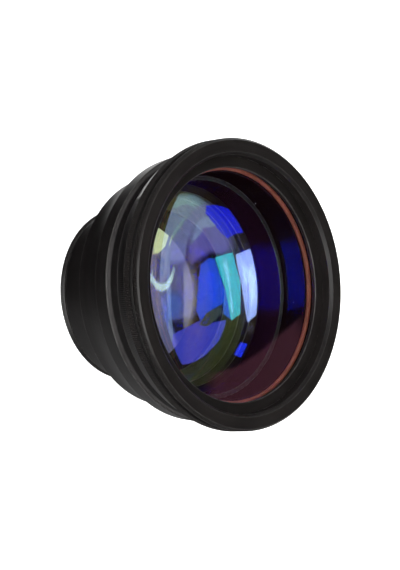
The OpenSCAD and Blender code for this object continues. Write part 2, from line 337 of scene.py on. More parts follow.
def section(points, radius=0.15, steps=3, radii=None):
    """Rounded closed section with edge flags only on its outside corners."""
    out, flags = [], []
    k = len(points)
    for i in range(k):
        pts, f = rounded([points[i - 1], points[i], points[(i + 1) % k]], radius, steps, {0: 0, 2: 0, **({1: radii[i]} if radii and i in radii else {})})
        mid = list(zip(pts, f))[1:-1]
        # outside corners carry the edge flag for rubbed wear and the painted highlight line
        wear_and_highlight_mask = 1.0 if outside_corner(points, i) else 0.0
        for p, g in mid:
            out.append(p), flags.append(g * wear_and_highlight_mask)
    # keep the worn and painted-highlight strip narrow: a loop close beside each corner ends it
    pts2, flags2 = [], []
    for i, (p, g) in enumerate(zip(out, flags)):
        q, h = out[(i + 1) % len(out)], flags[(i + 1) % len(out)]
        pts2.append(p), flags2.append(g)
        length = math.hypot(q[0] - p[0], q[1] - p[1])
        if length > 0.5:
            if g > 0:
                t = 0.12 / length
                pts2.append((p[0] + (q[0] - p[0]) * t, p[1] + (q[1] - p[1]) * t)), flags2.append(0.0)
            if h > 0:
                t = 1 - 0.12 / length
                pts2.append((p[0] + (q[0] - p[0]) * t, p[1] + (q[1] - p[1]) * t)), flags2.append(0.0)
    return pts2, flags2


def finish_mesh(name, verts, faces, mats, face_mats=None, edges=None, smooth=28.0):
    me = bpy.data.meshes.new(name)
    me.from_pydata([tuple(v) for v in verts], [], faces)
    for m in mats:
        me.materials.append(m)
    if face_mats is not None:
        me.polygons.foreach_set("material_index", np.asarray(face_mats, np.int32))
    if edges is not None:
        at = me.attributes.new("edge", "FLOAT", "POINT")
        at.data.foreach_set("value", np.asarray(edges, np.float32))
    me.polygons.foreach_set("use_smooth", np.ones(len(me.polygons), bool))
    if smooth is not None:
        me.set_sharp_from_angle(angle=math.radians(smooth))
    me.update()
    ob = bpy.data.objects.new(name, me)
    scene.collection.objects.link(ob)
    return ob


def revolve(name, points, flags, mats, segs=360, radius_at=None, face_mat=None, smooth=28.0):
    """Solid of revolution from a closed half section in millimetres (or one that ends on the axis)."""
    k = len(points)
    ang = np.arange(segs) * (2 * math.pi / segs)
    ca, sa = np.cos(ang), np.sin(ang)
    verts, edges, index = [], [], []
    for i, (r, z) in enumerate(points):
        if r < 1e-9:
            index.append((len(verts),) * 2)
            verts.append((0.0, 0.0, z * MM))
            edges.append(flags[i])
            continue
        index.append((len(verts), None))
        rr = np.full(segs, float(r)) if radius_at is None else radius_at(i, r, z, ang)
        for j in range(segs):
            verts.append((rr[j] * ca[j] * MM, rr[j] * sa[j] * MM, z * MM))
        edges.extend([flags[i]] * segs)
    faces, fm = [], []
    for i in range(k):
        i2 = (i + 1) % k
        a, b = index[i], index[i2]
        if a[1] is not None and b[1] is not None:
            continue
        for j in range(segs):
            j2 = (j + 1) % segs
            if a[1] is not None:
                faces.append((a[0], b[0] + j, b[0] + j2))
            elif b[1] is not None:
                faces.append((a[0] + j2, a[0] + j, b[0]))
            else:
                faces.append((a[0] + j, b[0] + j, b[0] + j2, a[0] + j2))
            fm.append(0 if face_mat is None else face_mat(i))
    # the section runs clockwise or not: make the faces look outward
    area = sum(points[j][0] * points[(j + 1) % k][1] - points[(j + 1) % k][0] * points[j][1] for j in range(k))
    if area > 0:
        faces = [f[::-1] for f in faces]
    return finish_mesh(name, verts, faces, mats, fm, edges, smooth)


def cut(ob, cutters):
    """Cuts closed meshes out of ob for good."""
    for c in cutters:
        mod = ob.modifiers.new("cut", "BOOLEAN")
        mod.operation = "DIFFERENCE"
        mod.solver = "EXACT"
        mod.object = c
        bpy.context.view_layer.update()
        dg = bpy.context.evaluated_depsgraph_get()
        me = bpy.data.meshes.new_from_object(ob.evaluated_get(dg))
        ob.modifiers.clear()
        old = ob.data
        ob.data = me
        bpy.data.meshes.remove(old)
    for c in cutters:
        bpy.data.objects.remove(c)


def cutter_box(angle, r0, r1, width, z0, z1):
    a = math.radians(angle)
    pts = []
    for r in (r0, r1):
        for w in (-width / 2, width / 2):
            for z in (z0, z1):
                pts.append(((r * math.cos(a) - w * math.sin(a)) * MM, (r * math.sin(a) + w * math.cos(a)) * MM, z * MM))
    faces = [(0, 1, 3, 2), (4, 6, 7, 5), (0, 4, 5, 1), (2, 3, 7, 6), (0, 2, 6, 4), (1, 5, 7, 3)]
    me = bpy.data.meshes.new("cutter")
    me.from_pydata(pts, [], faces)
    ob = bpy.data.objects.new("cutter", me)
    scene.collection.objects.link(ob)
    return ob


def cutter_rod(angle, r0, r1, rad, z, sides=32):
    a = math.radians(angle)
    pts = []
    for r in (r0, r1):
        for j in range(sides):
            t = 2 * math.pi * j / sides
            w, h = rad * math.cos(t), rad * math.sin(t)
            pts.append(((r * math.cos(a) - w * math.sin(a)) * MM, (r * math.sin(a) + w * math.cos(a)) * MM, (z + h) * MM))
    faces = [tuple(range(sides))[::-1], tuple(range(sides, 2 * sides))]
    for j in range(sides):
        j2 = (j + 1) % sides
        faces.append((j, j2, sides + j2, sides + j))
    me = bpy.data.meshes.new("cutter")
    me.from_pydata(pts, [], faces)
    ob = bpy.data.objects.new("cutter", me)
    scene.collection.objects.link(ob)
    return ob


def place(ob, node):
    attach(ob, "root")
    if node:
        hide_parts(node)
    return ob


# ---------------------------------------------------------------- sizes, as in the CAD (mm)
FRONT_Z, CELL_STEP, INDEX_TOP, RING_TOP, WIN_TOP, WIN_Z = 83.5, 80.4, 79.2, 78.0, 76.0, 73.0
GROOVE_Z, CELL_Z, INDEX_Z, DRUM_TOP, JOINT, SPIGOT_Z = 70.8, 69.0, 64.5, 58.2, 49.1, 55.0
RETAINER_Z, LENS1_Z, LENS2_TOP, LENS2_Z, LENS3_Z = 57.2, 42.2, 33.4, 28.8, 28.6
TEETH = 470


def knurl(depth=0.36):
    """Radius to take off round the ring: straight teeth, four points to a tooth."""
    def f(segs):
        t = np.arange(segs) % 4
        return np.where((t == 0) | (t == 1), 0.0, depth)
    return f


# window cell: front ring, recess, window seat and knurled band
pts = [
    (54.15, CELL_Z), (64.0, CELL_Z), (64.0, INDEX_TOP), (67.0, INDEX_TOP), (67.0, CELL_STEP),
    (68.62, CELL_STEP), (69.0, CELL_STEP + 0.38), (69.0, 82.5), (68.64, 82.86), (68.0, FRONT_Z),
    (62.4, FRONT_Z), (61.1, 82.2), (61.1, WIN_TOP), (60.2, WIN_TOP), (60.2, WIN_Z), (57.1, WIN_Z),
    (57.1, GROOVE_Z), (54.15, GROOVE_Z),
]
sharp = {5: 0.0, 6: 0.0, 7: 0.0, 8: 0.0, 9: 0.14, 10: 0.12, 11: 0.08, 2: 0.0, 3: 0.0, 4: 0.1, 0: 0.0, 1: 0.0, 13: 0.0, 14: 0.0}
cell_pts, cell_flags = section(pts, 0.10, 2, sharp)


def band(lo, hi, segs, depth=0.36):
    take = knurl(depth)(segs)

    def f(i, r, z, ang):
        rr = np.full(segs, float(r))
        if r > 68.9 and lo - 1e-6 <= z <= hi + 1e-6:
            return rr - take
        return rr
    return f


SEGS = TEETH * 4


def cell_face(i):
    z0, z1 = cell_pts[i][1], cell_pts[(i + 1) % len(cell_pts)][1]
    r0, r1 = cell_pts[i][0], cell_pts[(i + 1) % len(cell_pts)][0]
    if min(r0, r1) > 67.5 and min(z0, z1) > 82.7:
        return 1
    if 61.0 < min(r0, r1) and max(r0, r1) < 62.6 and min(z0, z1) > 82.1:
        return 1
    if max(r0, r1) < 57.3 and max(z0, z1) < 73.1:
        return 2
    return 0


cell = revolve("window_cell_ring", cell_pts, cell_flags, [RING, CHAMFER, INNER], SEGS, band(CELL_STEP + 0.3, 82.6, SEGS), cell_face, smooth=24.0)
place(cell, "window_cell")

# index ring: knurled band, cone, notch and the lock screw's hole
pts = [
    (61.8, INDEX_Z), (63.8, INDEX_Z), (64.6, 65.3), (65.21, 66.6), (68.62, 73.85), (69.0, 74.4), (69.0, 78.2), (68.64, 78.56), (68.0, INDEX_TOP),
    (64.0, INDEX_TOP), (64.0, CELL_Z - 0.1), (61.8, CELL_Z - 0.1),
]
index_pts, index_flags = section(pts, 0.12, 2, {3: 0.0, 4: 0.0, 5: 0.0, 6: 0.0, 7: 0.0, 8: 0.08, 9: 0.0, 10: 0.0, 11: 0.0, 1: 0.25, 2: 0.3})


def index_face(i):
    z0, z1 = index_pts[i][1], index_pts[(i + 1) % len(index_pts)][1]
    r0, r1 = index_pts[i][0], index_pts[(i + 1) % len(index_pts)][0]
    if min(r0, r1) > 67.9 and min(z0, z1) > 78.1:
        return 1
    if min(r0, r1) > 63.6 and max(z0, z1) < 66.7:
        return 2
    if min(r0, r1) > 68.9:
        return 3
    return 0


index = revolve("index_ring_body", index_pts, index_flags, [BARREL, CHAMFER_DIM, CHAMFER_PAINTED_HIGHLIGHT, RING], SEGS, band(74.3, 78.3, SEGS), index_face, smooth=24.0)
cut(index, [cutter_box(-127.5, 68.0, 71.0, 0.8, 72.0, 75.4), cutter_rod(52.5, 60.0, 68.0, 1.5, 67.0)])
place(index, "index_ring")

# front barrel
pts = [
    (57.5, JOINT + 1.6), (59.1, JOINT), (63.1, JOINT), (63.4, JOINT + 0.3), (64.5, DRUM_TOP - 0.5), (64.0, DRUM_TOP),
    (63.4, 59.7), (62.0, 63.2), (61.8, 63.2), (61.8, CELL_Z), (59.1, CELL_Z), (59.1, CELL_Z - 1.8), (57.3, CELL_Z - 1.8), (57.3, CELL_Z),
    (54.15, CELL_Z), (54.15, SPIGOT_Z), (57.5, SPIGOT_Z),
]
fb_pts, fb_flags = section(pts, 0.12, 2, {8: 0.0, 7: 0.0, 6: 0.0, 4: 0.3, 5: 0.3})


def fb_face(i):
    r0, r1 = fb_pts[i][0], fb_pts[(i + 1) % len(fb_pts)][0]
    z0, z1 = fb_pts[i][1], fb_pts[(i + 1) % len(fb_pts)][1]
    if max(r0, r1) < 54.6:
        return 1
    if min(z0, z1) > 57.5 and max(z0, z1) < 58.2:
        return 2
    if min(z0, z1) > 58.0 and max(z0, z1) < 59.8 and min(r0, r1) > 63.0:
        return 3
    return 0


fbarrel = revolve("front_barrel_shell", fb_pts, fb_flags, [BARREL, INNER, CHAMFER, CHAMFER_PAINTED_HIGHLIGHT], 480, None, fb_face)
place(fbarrel, "front_barrel")

# rear barrel: cone, neck, real thread on the lip
pts = [(39.8, 0.0), (42.0, 0.0), (42.5, 0.5)]
thread_rows = []
z = 0.5
while z < 2.6 - 1e-9:
    z += 0.0625
    thread_rows.append((42.5, round(z, 4)))
pts += thread_rows[:-1]
pts += [
    (42.5, 2.6), (42.1, 3.0), (41.0, 3.0), (41.0, 4.2), (42.5, 4.2), (42.5, 28.0), (54.4, 28.0), (55.9, 29.5),
    (56.1, 33.5), (56.55, 36.2), (57.1, 38.5), (58.05, 41.5), (59.1, 44.5), (59.75, 46.8), (60.3, JOINT), (57.5, JOINT), (57.5, 54.6), (57.1, SPIGOT_Z),
    (53.7, SPIGOT_Z), (53.7, LENS2_Z + 480.0 - math.sqrt(480.0**2 - 53.7**2)), (44.0, LENS2_Z + 480.0 - math.sqrt(480.0**2 - 44.0**2)), (36.5, 24.0),
    (36.5, LENS3_Z - 75.0 + math.sqrt(75.0**2 - 36.5**2)),
]
for i in range(1, 7):
    r = 36.5 + (39.2 - 36.5) * i / 6
    pts.append((r, LENS3_Z - 75.0 + math.sqrt(75.0**2 - r * r)))
pts += [(39.2, 0.6)]
n_thread = len(thread_rows) - 1
radii = {i: 0.0 for i in range(2, 4 + n_thread)}
base_i = 3 + n_thread
radii.update({0: 0.0, 1: 0.15})
for off in (8, 9, 10, 11, 12):
    radii[base_i + off] = 0.0
for off in range(23, 31):
    radii[base_i + off] = 0.0
radii[base_i + 20] = 0.28
rb_pts, rb_flags = section(pts, 0.14, 2, radii)


def thread_radius(segs):
    def f(i, r, z, ang):
        rr = np.full(segs, float(r))
        if r > 42.4 and 0.5 <= z <= 2.62:
            turn = (z - ang / (2 * math.pi)) % 1.0
            tooth = np.abs(turn - 0.5) * 2
            deep = 0.52 * np.clip(1 - tooth * 1.25, 0, 1)
            fade = min(1.0, (z - 0.5) / 0.25, (2.6 - z) / 0.15) if z < 2.6 else 0.0
            return rr - deep * max(0.0, fade)
        return rr
    return f


def rb_face(i):
    r0, r1 = rb_pts[i][0], rb_pts[(i + 1) % len(rb_pts)][0]
    z0, z1 = rb_pts[i][1], rb_pts[(i + 1) % len(rb_pts)][1]
    if 36.0 < min(r0, r1) and max(r0, r1) < 53.75 and 23.5 < min(z0, z1) and max(z0, z1) < 31.9:
        return 4
    if max(r0, r1) < 54.0 and min(z0, z1) > 29.0:
        return 1
    if max(r0, r1) < 45.0 and min(z0, z1) > 4.0 and max(r0, r1) < 42.0:
        return 3
    if min(r0, r1) > 41.0 and max(z0, z1) < 3.1:
        return 2
    return 0


rbarrel = revolve("rear_barrel_shell", rb_pts, rb_flags, [BARREL, INNER, CHAMFER, DULL, SEAT], 540, thread_radius(540), rb_face)
place(rbarrel, "rear_barrel")

# window retaining ring
pts = [(55.5, WIN_TOP), (61.1, WIN_TOP), (61.1, RING_TOP - 0.3), (60.8, RING_TOP), (55.8, RING_TOP), (55.5, RING_TOP - 0.3)]
p_, f_ = section(pts, 0.08, 2)
ring = revolve("window_clamp_ring", p_, f_, [RING, CHAMFER], 480, None, lambda i: 1 if (abs(p_[i][0] - p_[(i + 1) % len(p_)][0]) > 0.02 and abs(p_[i][1] - p_[(i + 1) % len(p_)][1]) > 0.02) else 0)
place(ring, "window_retaining_ring")

# front lens retainer: deep threaded ring with turned steps on its top
pts = [
    (51.3, LENS1_Z), (51.9, LENS1_Z), (51.9, LENS1_Z + 1.8), (53.7, LENS1_Z + 1.8), (53.7, RETAINER_Z - 0.3), (53.4, RETAINER_Z),
    (52.95, RETAINER_Z), (52.85, RETAINER_Z - 0.28), (52.25, RETAINER_Z - 0.28), (52.15, RETAINER_Z), (51.6, RETAINER_Z), (51.3, RETAINER_Z - 0.3),
]
p2_, f2_ = section(pts, 0.07, 2)


def serrated(segs):
    rng = np.random.default_rng(11)
    rough = rng.uniform(-0.05, 0.05, segs)
    rough = (rough + np.roll(rough, 1)) * 0.5

    def f(i, r, z, ang):
        rr = np.full(segs, float(r))
        if z > RETAINER_Z - 0.32 and 51.5 < r < 53.3:
            return rr + rough * (1.0 if (i % 2) else -1.0)
        return rr
    return f


def ret_face(i):
    z0, z1 = p2_[i][1], p2_[(i + 1) % len(p2_)][1]
    return 1 if min(z0, z1) > RETAINER_Z - 0.34 else 0


retainer = revolve("front_lens_clamp_ring", p2_, f2_, [INNER_DEEP, CHAMFER], 1440, serrated(1440), ret_face, smooth=20.0)
place(retainer, "front_lens_retainer")


# seals
def ring_seal(name, node, mid, rad, z, mat, flat=0.0, segs=360, sides=28):
    pts, flags = [], []
    for j in range(sides):
        t = 2 * math.pi * j / sides
        h = rad * math.sin(t)
        h = max(-rad * (1 - flat), min(rad * (1 - flat), h))
        pts.append((mid + rad * math.cos(t), z + h))
        flags.append(0.0)
    ob = revolve(name, pts, flags, [mat], segs, None, None, smooth=None)
    return place(ob, node)


ring_seal("window_seal_ring", "window_seal", 55.7, 1.1, WIN_Z - 1.1, SEAL)
ring_seal("cell_seal_ring", "cell_seal", 58.2, 0.9, CELL_Z - 0.9, BLACK_RUBBER)
ring_seal("barrel_seal_ring", "barrel_seal", 58.3, 0.8, JOINT + 0.8, BLACK_RUBBER)
ring_seal("front_lens_cushion_ring", "front_lens_cushion", 52.8, 0.9, LENS1_Z + 0.9, BLACK_RUBBER)


# ---------------------------------------------------------------- glass
def arc(zc, radius, r0, r1, steps, top=True):
    """Points on a lens face, from radius r0 to r1 off the axis."""
    out = []
    for j in range(steps + 1):
        r = r0 + (r1 - r0) * j / steps
        h = math.sqrt(radius * radius - r * r)
        out.append((max(r, 0.0), zc + h if top else zc - h))
    return out


def lens(name, node, upper, lower, mats, segs=256, ground=None):
    """upper runs from the rim to the axis, lower from the axis to the rim. mats: upper, lower, rim.
    ground is the number of a step of the section that is left ground like the rim."""
    pts = upper + lower[(1 if upper[-1][0] < 1e-9 and lower[0][0] < 1e-9 and abs(upper[-1][1] - lower[0][1]) < 1e-9 else 0):]
    k_up = len(upper)

    def fm(i):
        if ground is not None and i == ground % len(pts):
            return 2
        if i < k_up - 1:
            return 0
        if k_up <= i < len(pts) - 1:
            return 1
        return 2
    ob = revolve(name, pts, [0.0] * len(pts), mats, segs, None, fm, smooth=12.0)
    return place(ob, node)


def flat(z, r0, r1, steps=4):
    return [(r0 + (r1 - r0) * j / steps, z) for j in range(steps + 1)]


def sag(R, r):
    return R - math.sqrt(R * R - r * r)


# window: flat both sides
lens("window_plate", "protective_window", flat(WIN_TOP, 59.7, 0.0), flat(WIN_Z, 0.0, 59.7), [WINDOW, WINDOW, EDGE_BLACK])
# front lens
c1 = LENS1_Z - 2.0 - sag(230.0, 53.5) + 230.0
lens("front_lens_glass", "front_lens", flat(LENS1_Z, 53.5, 0.0), arc(c1, 230.0, 0.0, 53.5, 60, False), [FRONT1, FRONT2, EDGE_BLACK])
# second lens
lens("second_lens_glass", "second_lens", flat(LENS2_TOP, 53.5, 0.0), arc(LENS2_Z + 480.0, 480.0, 0.0, 53.5, 50, False), [SECOND1, SECOND2, EDGE_BLACK])
# third lens: deep meniscus, the hollow ends at r 31 on its flat rear rim
c3h = 14.7 + sag(62.0, 31.0) - 62.0
lens("third_lens_glass", "third_lens", arc(LENS3_Z - 75.0, 75.0, 39.0, 0.0, 40), arc(c3h, 62.0, 0.0, 31.0, 32) + [(39.0, 14.7)], [THIRD1, THIRD2, EDGE_BLACK], ground=-2)
# rear lens
c4 = 10.2 - sag(260.0, 33.5) + 260.0
lens("rear_lens_glass", "rear_lens", [(39.0, 10.2)] + arc(c4, 260.0, 33.5, 0.0, 30, False), flat(5.0, 0.0, 39.0), [REAR1, REAR2, EDGE_BLACK], ground=0)

# front spacer, its two inner edges turned and given a painted bright bluish highlight line
c1z = c1 - math.sqrt(230.0 ** 2 - 47.5 ** 2)
sp_pts, sp_flags = section([(47.5, LENS2_TOP), (53.5, LENS2_TOP), (53.5, LENS1_Z - 2.04), (47.5, c1z - 0.03)], 0.48, 3, {1: 0.05, 2: 0.0, 3: 0.12})
place(revolve("front_spacer_ring", sp_pts, sp_flags, [SPACER], 360, smooth=24.0), "front_spacer")

# the rear spacer and the rear ring keep their CAD solids
for node, mat in (("rear_spacer", DULL), ("rear_retaining_ring", BARREL), ("lock_screw", STEEL)):
    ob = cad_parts[node]
    ob.data.materials.clear()
    ob.data.materials.append(mat)

# plain scale ticks let into the index ring's cone
verts, faces = [], []
cone = ((64.6, 65.3), (68.62, 73.85))


def on_cone(z, lift):
    t = (z - cone[0][1]) / (cone[1][1] - cone[0][1])
    r = cone[0][0] + (cone[1][0] - cone[0][0]) * t
    slope = math.hypot(cone[1][0] - cone[0][0], cone[1][1] - cone[0][1])
    nr, nz = (cone[1][1] - cone[0][1]) / slope, -(cone[1][0] - cone[0][0]) / slope
    return r + lift * nr, z + lift * nz


for k in range(24):
    a = math.radians(-131.0 - k * 1.05)
    z0, z1 = (67.6, 72.6) if k % 5 == 0 else (69.6, 72.6)
    half = 0.17
    base = len(verts)
    for lift in (-0.08, 0.05):
        for zz in (z0, z1):
            r, zc = on_cone(zz, lift)
            for w in (-half, half):
                verts.append(((r * math.cos(a) - w * math.sin(a)) * MM, (r * math.sin(a) + w * math.cos(a)) * MM, zc * MM))
    b = base
    faces += [(b, b + 2, b + 3, b + 1), (b + 4, b + 5, b + 7, b + 6), (b, b + 1, b + 5, b + 4), (b + 2, b + 6, b + 7, b + 3), (b, b + 4, b + 6, b + 2), (b + 1, b + 3, b + 7, b + 5)]
ticks = finish_mesh("index_scale_ticks", verts, faces, [MARK], None, None, 20.0)
place(ticks, None)


# ---------------------------------------------------------------- floor, backdrop and lights
def stage_mesh(name, verts, faces, mat, smooth=False):
    me = bpy.data.meshes.new(name)
    me.from_pydata(verts, [], faces)
    me.materials.append(mat)
    if smooth:
        me.polygons.foreach_set("use_smooth", np.ones(len(me.polygons), bool))
    ob = bpy.data.objects.new(name, me)
    scene.collection.objects.link(ob)
    return ob


m, n = material("floor_white")
co = n.new("ShaderNodeTexCoord").outputs["Object"]
tone = n.mix(n.noise(co, 3.0, 2.0), rgb(0.86, 0.86, 0.86), rgb(0.90, 0.90, 0.90))
dif = n.new("ShaderNodeBsdfDiffuse", {"Color": tone})
fx, fy, fz = n.new("ShaderNodeSeparateXYZ", {0: co}).outputs
far = n.math("SQRT", n.math("ADD", n.math("MULTIPLY", fx, fx), n.math("MULTIPLY", fy, fy)))
# the glow fades out under the lens's foot: a painted shadow where it stands
glow = n.new("ShaderNodeEmission", {"Color": rgb(1, 1, 1), "Strength": n.ramp(far, 0.028, 0.040, 0.0, 0.92)})
add = n.new("ShaderNodeAddShader", {0: dif, 1: glow})
n.new("ShaderNodeOutputMaterial", {"Surface": add})
verts, faces = [(0, 0, 0)], []
prof = [(0.3, 0.0), (1.0, 0.0), (2.5, 0.0), (4.0, 0.05), (5.2, 0.5), (6.0, 1.5), (6.3, 3.0), (6.3, 7.0)]
S = 64
for r, z in prof:
    for j in range(S):
        t = 2 * math.pi * j / S
        verts.append((r * math.cos(t), r * math.sin(t), z - 0.00005))
for j in range(S):
    faces.append((0, 1 + j, 1 + (j + 1) % S))
for i in range(len(prof) - 1):
    for j in range(S):
        a, b = 1 + i * S + j, 1 + i * S + (j + 1) % S
        faces.append((a, a + S, b + S, b))
verts[0] = (0, 0, -0.00005)
floor = stage_mesh("studio_floor", verts, faces, m, True)
floor.visible_glossy = False
floor.visible_transmission = False


def card(name, corners, colour, strength, soft=0.0, mirror=False):
    """A lit card of the studio, corners in millimetres round its outline, fading out over the soft part
    of its width. Only the glass sees it."""
    m, n = material(name)
    lit = n.new("ShaderNodeAttribute", attribute_name="lit").outputs["Fac"]
    e = n.new("ShaderNodeEmission", {"Color": rgb(*colour), "Strength": n.math("MULTIPLY", lit, strength)})
    n.new("ShaderNodeOutputMaterial", {"Surface": e})
    pts = [Vector(c) * MM for c in corners]
    mid = sum(pts, Vector()) / len(pts)
    k = len(pts)
    rings = [(1.0, 1.0)] if not soft else [(1.0 - soft, 1.0), (1.0 - soft / 2, 0.5), (1.0, 0.0), ]
    verts, value, faces = [tuple(mid)], [1.0], []
    for f, v in rings:
        verts += [tuple(mid + (p - mid) * f) for p in pts]
        value += [v] * k
    for j in range(k):
        faces.append((0, 1 + j, 1 + (j + 1) % k))
    for r in range(len(rings) - 1):
        for j in range(k):
            a, b = 1 + r * k + j, 1 + r * k + (j + 1) % k
            faces.append((a, a + k, b + k, b))
    if soft:
        # the see-through margin lets what is behind the card show
        clear = n.new("ShaderNodeBsdfTransparent")
        out = [q for q in n.t.nodes if q.type == "OUTPUT_MATERIAL"][0]
        full = n.new("ShaderNodeEmission", {"Color": rgb(*colour), "Strength": strength})
        n.put(out, "Surface", n.shader_mix(lit, clear, full))
    ob = stage_mesh(name, verts, faces, m)
    at = ob.data.attributes.new("lit", "FLOAT", "POINT")
    at.data.foreach_set("value", np.asarray(value, np.float32))
    ob.visible_camera = False
    ob.visible_shadow = False
    ob.visible_diffuse = False
    ob.visible_glossy = mirror
    return ob


def band_card(name, outer, inner, colour, strength):
    """A lit strip of the studio between two lines, fading out to both ends. Only the glass sees it."""
    m, n = material(name)
    lit = n.new("ShaderNodeAttribute", attribute_name="lit").outputs["Fac"]
    full = n.new("ShaderNodeEmission", {"Color": rgb(*colour), "Strength": strength})
    n.new("ShaderNodeOutputMaterial", {"Surface": n.shader_mix(lit, n.new("ShaderNodeBsdfTransparent"), full)})
    k = len(outer)
    verts, value = [], []
    for t, v in ((0.0, 0.0), (0.3, 1.0), (0.7, 1.0), (1.0, 0.0)):
        verts += [tuple((Vector(p) * MM).lerp(Vector(q) * MM, t)) for p, q in zip(outer, inner)]
        value += [v * min(1.0, 0.4 + i, 0.4 + k - 1 - i) for i in range(k)]
    faces = [(r * k + i, (r + 1) * k + i, (r + 1) * k + i + 1, r * k + i + 1) for r in range(3) for i in range(k - 1)]
    ob = stage_mesh(name, verts, faces, m)
    at = ob.data.attributes.new("lit", "FLOAT", "POINT")
    at.data.foreach_set("value", np.asarray(value, np.float32))
    ob.visible_camera = False
    ob.visible_shadow = False
    ob.visible_diffuse = False
    ob.visible_glossy = False
    return ob


card("card_lilac_outer", [(92, 2862, 904), (207, 2859, 892), (356, 2829, 943), (509, 2794, 978), (659, 2765, 969), (813, 2732, 945), (964, 2683, 942), (1112, 2613, 978), (1258, 2527, 1029), (1393, 2430, 1088), (1523, 2327, 1139), (1643, 2214, 1200), (1729, 2079, 1318), (1768, 1904, 1522), (1771, 1705, 1744), (1755, 1535, 1913), (1721, 1400, 2046), (1668, 1295, 2158), (1616, 1259, 2220), (1579, 1325, 2207), (1545, 1460, 2145), (1494, 1594, 2084), (1418, 1708, 2045), (1326, 1823, 2006), (1228, 1930, 1968), (1120, 2026, 1934), (1006, 2115, 1901), (897, 2189, 1871), (803, 2241, 1851), (713, 2279, 1841), (608, 2316, 1833), (467, 2352, 1828), (310, 2387, 1815), (178, 2436, 1766), (82, 2508, 1668), (11, 2591, 1535), (-24, 2669, 1389), (-20, 2746, 1224), (20, 2819, 1039)], (0.86, 0.62, 0.8), 1.7, soft=0.25)
card("card_lilac_gap", [(466, 2412, 1755), (571, 2421, 1710), (720, 2369, 1727), (862, 2301, 1754), (978, 2230, 1785), (1087, 2142, 1831), (1191, 2043, 1880), (1293, 1931, 1931), (1390, 1808, 1983), (1476, 1679, 2035), (1556, 1537, 2089), (1624, 1388, 2141), (1657, 1260, 2195), (1633, 1151, 2273), (1573, 1063, 2359), (1510, 1038, 2411), (1464, 1112, 2407), (1416, 1248, 2367), (1352, 1378, 2332), (1261, 1482, 2319), (1154, 1581, 2309), (1048, 1668, 2298), (947, 1740, 2288), (847, 1800, 2281), (750, 1851, 2274), (646, 1878, 2284), (544, 1897, 2295), (473, 1955, 2261), (436, 2104, 2128), (429, 2290, 1923)], (1.0, 0.62, 1.0), 1.35, soft=0.2)
card("card_lilac_inner", [(1384, 1514, 2217), (1449, 1399, 2252), (1490, 1272, 2301), (1505, 1149, 2356), (1491, 1030, 2420), (1450, 915, 2492), (1396, 812, 2558), (1333, 727, 2618), (1257, 656, 2675), (1162, 591, 2733), (1034, 519, 2799), (887, 454, 2861), (763, 441, 2899), (674, 505, 2911), (609, 618, 2903), (572, 742, 2881), (576, 872, 2843), (605, 1012, 2790), (622, 1136, 2737), (608, 1232, 2698), (582, 1313, 2664), (551, 1394, 2629), (515, 1482, 2587), (476, 1570, 2542), (445, 1654, 2493), (415, 1738, 2439), (394, 1818, 2383), (414, 1876, 2333), (500, 1904, 2292), (627, 1912, 2254), (749, 1903, 2224), (849, 1877, 2210), (945, 1833, 2207), (1045, 1775, 2209), (1163, 1701, 2208), (1285, 1613, 2207)], (0.7, 0.34, 1.0), 1.45, soft=0.35)
card("card_lilac_low", [(20, 2819, 1039), (18, 2773, 1159), (-18, 2726, 1270), (-59, 2674, 1379), (-89, 2607, 1504), (-122, 2535, 1624), (-179, 2480, 1703), (-274, 2460, 1719), (-391, 2459, 1697), (-505, 2447, 1684), (-611, 2394, 1725), (-713, 2330, 1774), (-808, 2310, 1760), (-907, 2369, 1624), (-996, 2472, 1398), (-1029, 2563, 1187), (-977, 2624, 1091), (-871, 2675, 1056), (-762, 2725, 1008), (-664, 2782, 915), (-562, 2838, 797), (-466, 2884, 678), (-378, 2921, 558), (-296, 2947, 452), (-216, 2951, 472), (-126, 2922, 663), (-36, 2871, 876)], (0.25, 0.28, 1.0), 1.1, soft=0.25)
card("card_haze_outer", [(1201, 2490, 1100), (1309, 2442, 1084), (1423, 2359, 1124), (1524, 2272, 1172), (1609, 2193, 1210), (1680, 2108, 1264), (1732, 2005, 1361), (1760, 1871, 1514), (1766, 1717, 1683), (1753, 1575, 1833), (1715, 1435, 1982), (1656, 1307, 2118), (1600, 1246, 2198), (1561, 1294, 2199), (1527, 1409, 2151), (1480, 1523, 2104), (1415, 1616, 2079), (1338, 1708, 2055), (1254, 1801, 2028), (1156, 1897, 1998), (1052, 1993, 1961), (960, 2083, 1913), (880, 2166, 1857), (812, 2243, 1794), (780, 2306, 1726), (799, 2347, 1659), (853, 2374, 1590), (922, 2401, 1508), (1004, 2442, 1380), (1100, 2483, 1219)], (1.0, 0.9, 0.8), 1.9, soft=0.35)
card("card_haze_inner", [(1332, 1527, 2199), (1389, 1442, 2222), (1430, 1346, 2257), (1450, 1249, 2300), (1446, 1153, 2353), (1422, 1056, 2414), (1379, 973, 2474), (1314, 896, 2539), (1230, 832, 2603), (1150, 812, 2646), (1077, 859, 2662), (1009, 950, 2657), (959, 1046, 2640), (938, 1138, 2608), (935, 1235, 2564), (923, 1326, 2522), (890, 1406, 2490), (848, 1480, 2461), (812, 1553, 2428), (770, 1639, 2384), (732, 1724, 2334), (740, 1776, 2292), (823, 1776, 2262), (951, 1744, 2236), (1072, 1701, 2214), (1169, 1655, 2200), (1259, 1597, 2193)], (1.0, 0.72, 1.0), 1.8, soft=0.45)
card("card_pale", [(633, 2447, 1523), (895, 2403, 1459), (1193, 2298, 1414), (1460, 2172, 1360), (1516, 2080, 1443), (1270, 2073, 1677), (949, 2154, 1787), (667, 2303, 1726)], (1, 0.69, 0.34), 4.6, soft=0.12)
card("card_streak", [(699, 2264, 1748), (699, 2233, 1789), (-8, 2276, 1871), (-710, 2336, 1644), (-1339, 2348, 1147), (-1334, 2383, 1075), (-707, 2362, 1607), (-6, 2307, 1832)], (0.95, 0.8, 1.0), 1.0)
